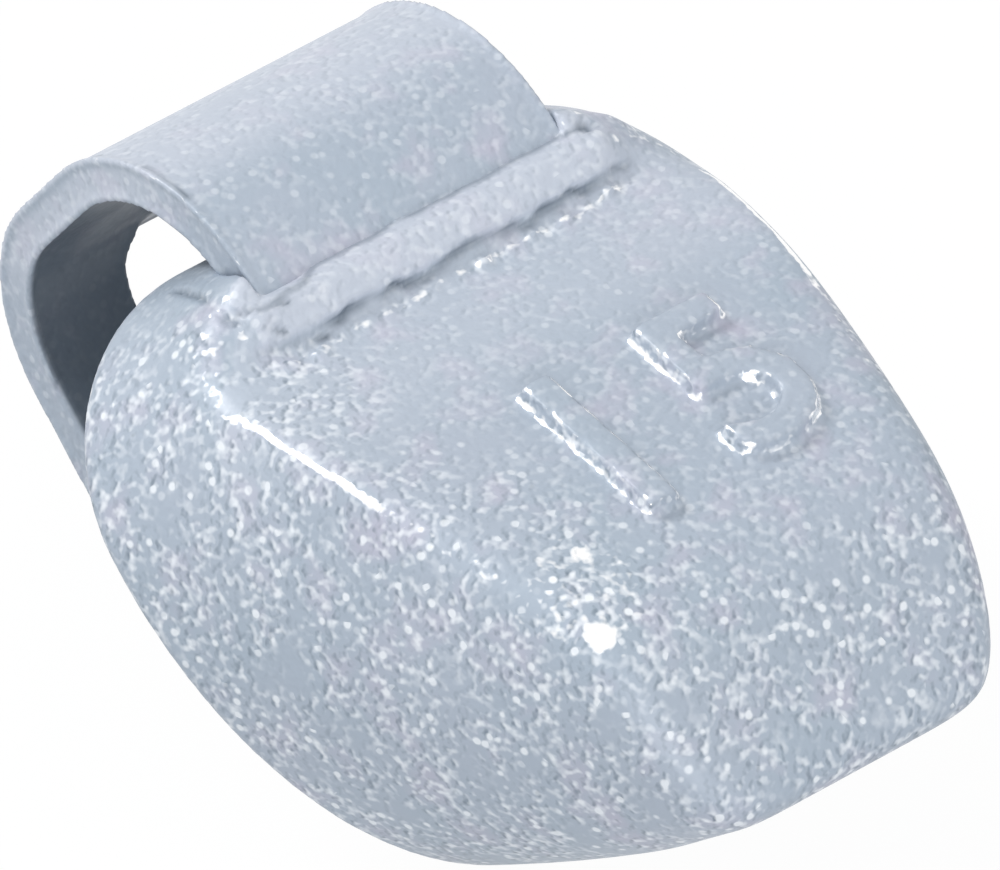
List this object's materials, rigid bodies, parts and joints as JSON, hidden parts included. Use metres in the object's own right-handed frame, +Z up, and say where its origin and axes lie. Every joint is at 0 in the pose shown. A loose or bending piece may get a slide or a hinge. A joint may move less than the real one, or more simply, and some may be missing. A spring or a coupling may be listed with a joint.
{
  "type": "wheel balance weight",
  "caption": "Clip-on wheel balance weight: a drafted shield-shaped casting with a sloping face, cast round a bent spring strip that hooks over the flange of a wheel rim.",
  "frame": {"origin": "middle of the footprint's bounding rectangle, on the table the weight lies on", "axes": "+X along the rim, to the right as the face is read; +Y from the casting's nose to the clip; +Z up from the table, with the weight at rest on its foot edge and the clip's tip"},
  "size_m": [0.0192, 0.0265, 0.0139],
  "materials": {
    "cast_body": "bluish silver flake coating over zinc alloy, satin with fine sparkle",
    "spring_clip": "the same bluish silver flake coating over spring steel"
  },
  "bodies": {
    "root": {"cast_body": "cast_body", "spring_clip": "spring_clip"}
  },
  "joints": []
}
